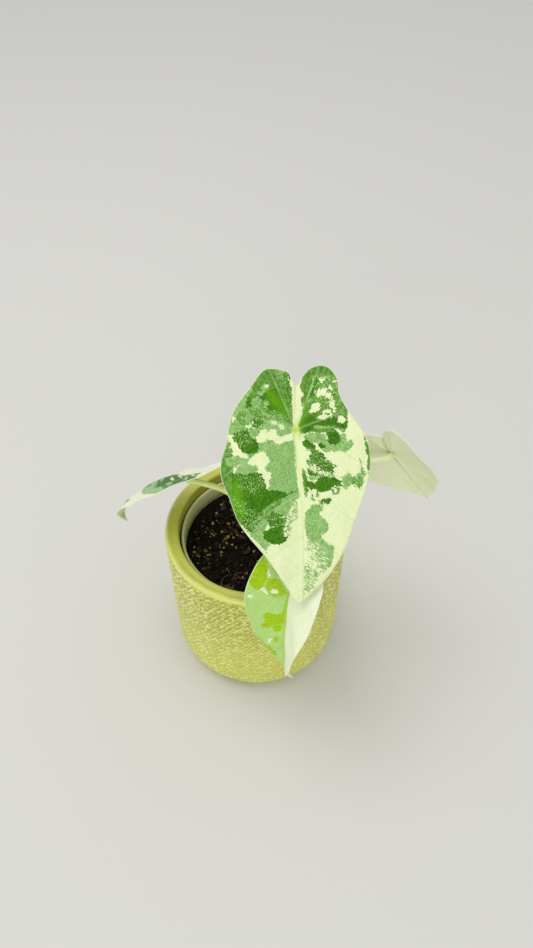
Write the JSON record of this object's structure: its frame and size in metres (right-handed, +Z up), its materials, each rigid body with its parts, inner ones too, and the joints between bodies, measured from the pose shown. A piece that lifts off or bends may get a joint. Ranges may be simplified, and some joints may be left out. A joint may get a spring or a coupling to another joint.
{
  "type": "potted variegated alocasia house plant",
  "caption": "Young variegated arrow-leaved aroid in a round cover pot with a netted relief: inner nursery pot, soil, short stem and stalked drooping leaves.",
  "frame": {"origin": "centre of the pot's flat base, on the surface it stands on", "axes": "+Z up, -Y towards the front of the plant where the main leaf faces, +X to its right"},
  "size_m": [0.177, 0.1279, 0.1943],
  "materials": {
    "glazed_pot": "glossy olive-lime glaze over a fine netted relief, darker in the hollows",
    "nursery_plastic": "thin milky translucent plastic, softly matt",
    "potting_soil": "moist near-black potting mix with tan grit",
    "stem_bark": "matt brown ringed stem skin",
    "leaf_stalk": "smooth pale yellow-green, softly glossy",
    "blade_green": "velvety green blade patched and speckled with cream and grey-green",
    "blade_cream": "thin cream blade, softly matt",
    "blade_lime": "sage blade with lime patches and a cream half"
  },
  "bodies": {
    "root": {"pot": "glazed_pot", "nursery_pot": "nursery_plastic", "soil": "potting_soil", "stem": "stem_bark", "stalk_main": "leaf_stalk", "leaf_main": "blade_green", "stalk_left": "leaf_stalk", "leaf_left": "blade_green", "stalk_right": "leaf_stalk", "leaf_right": "blade_cream", "stalk_front": "leaf_stalk", "leaf_front": "blade_lime"}
  },
  "joints": []
}
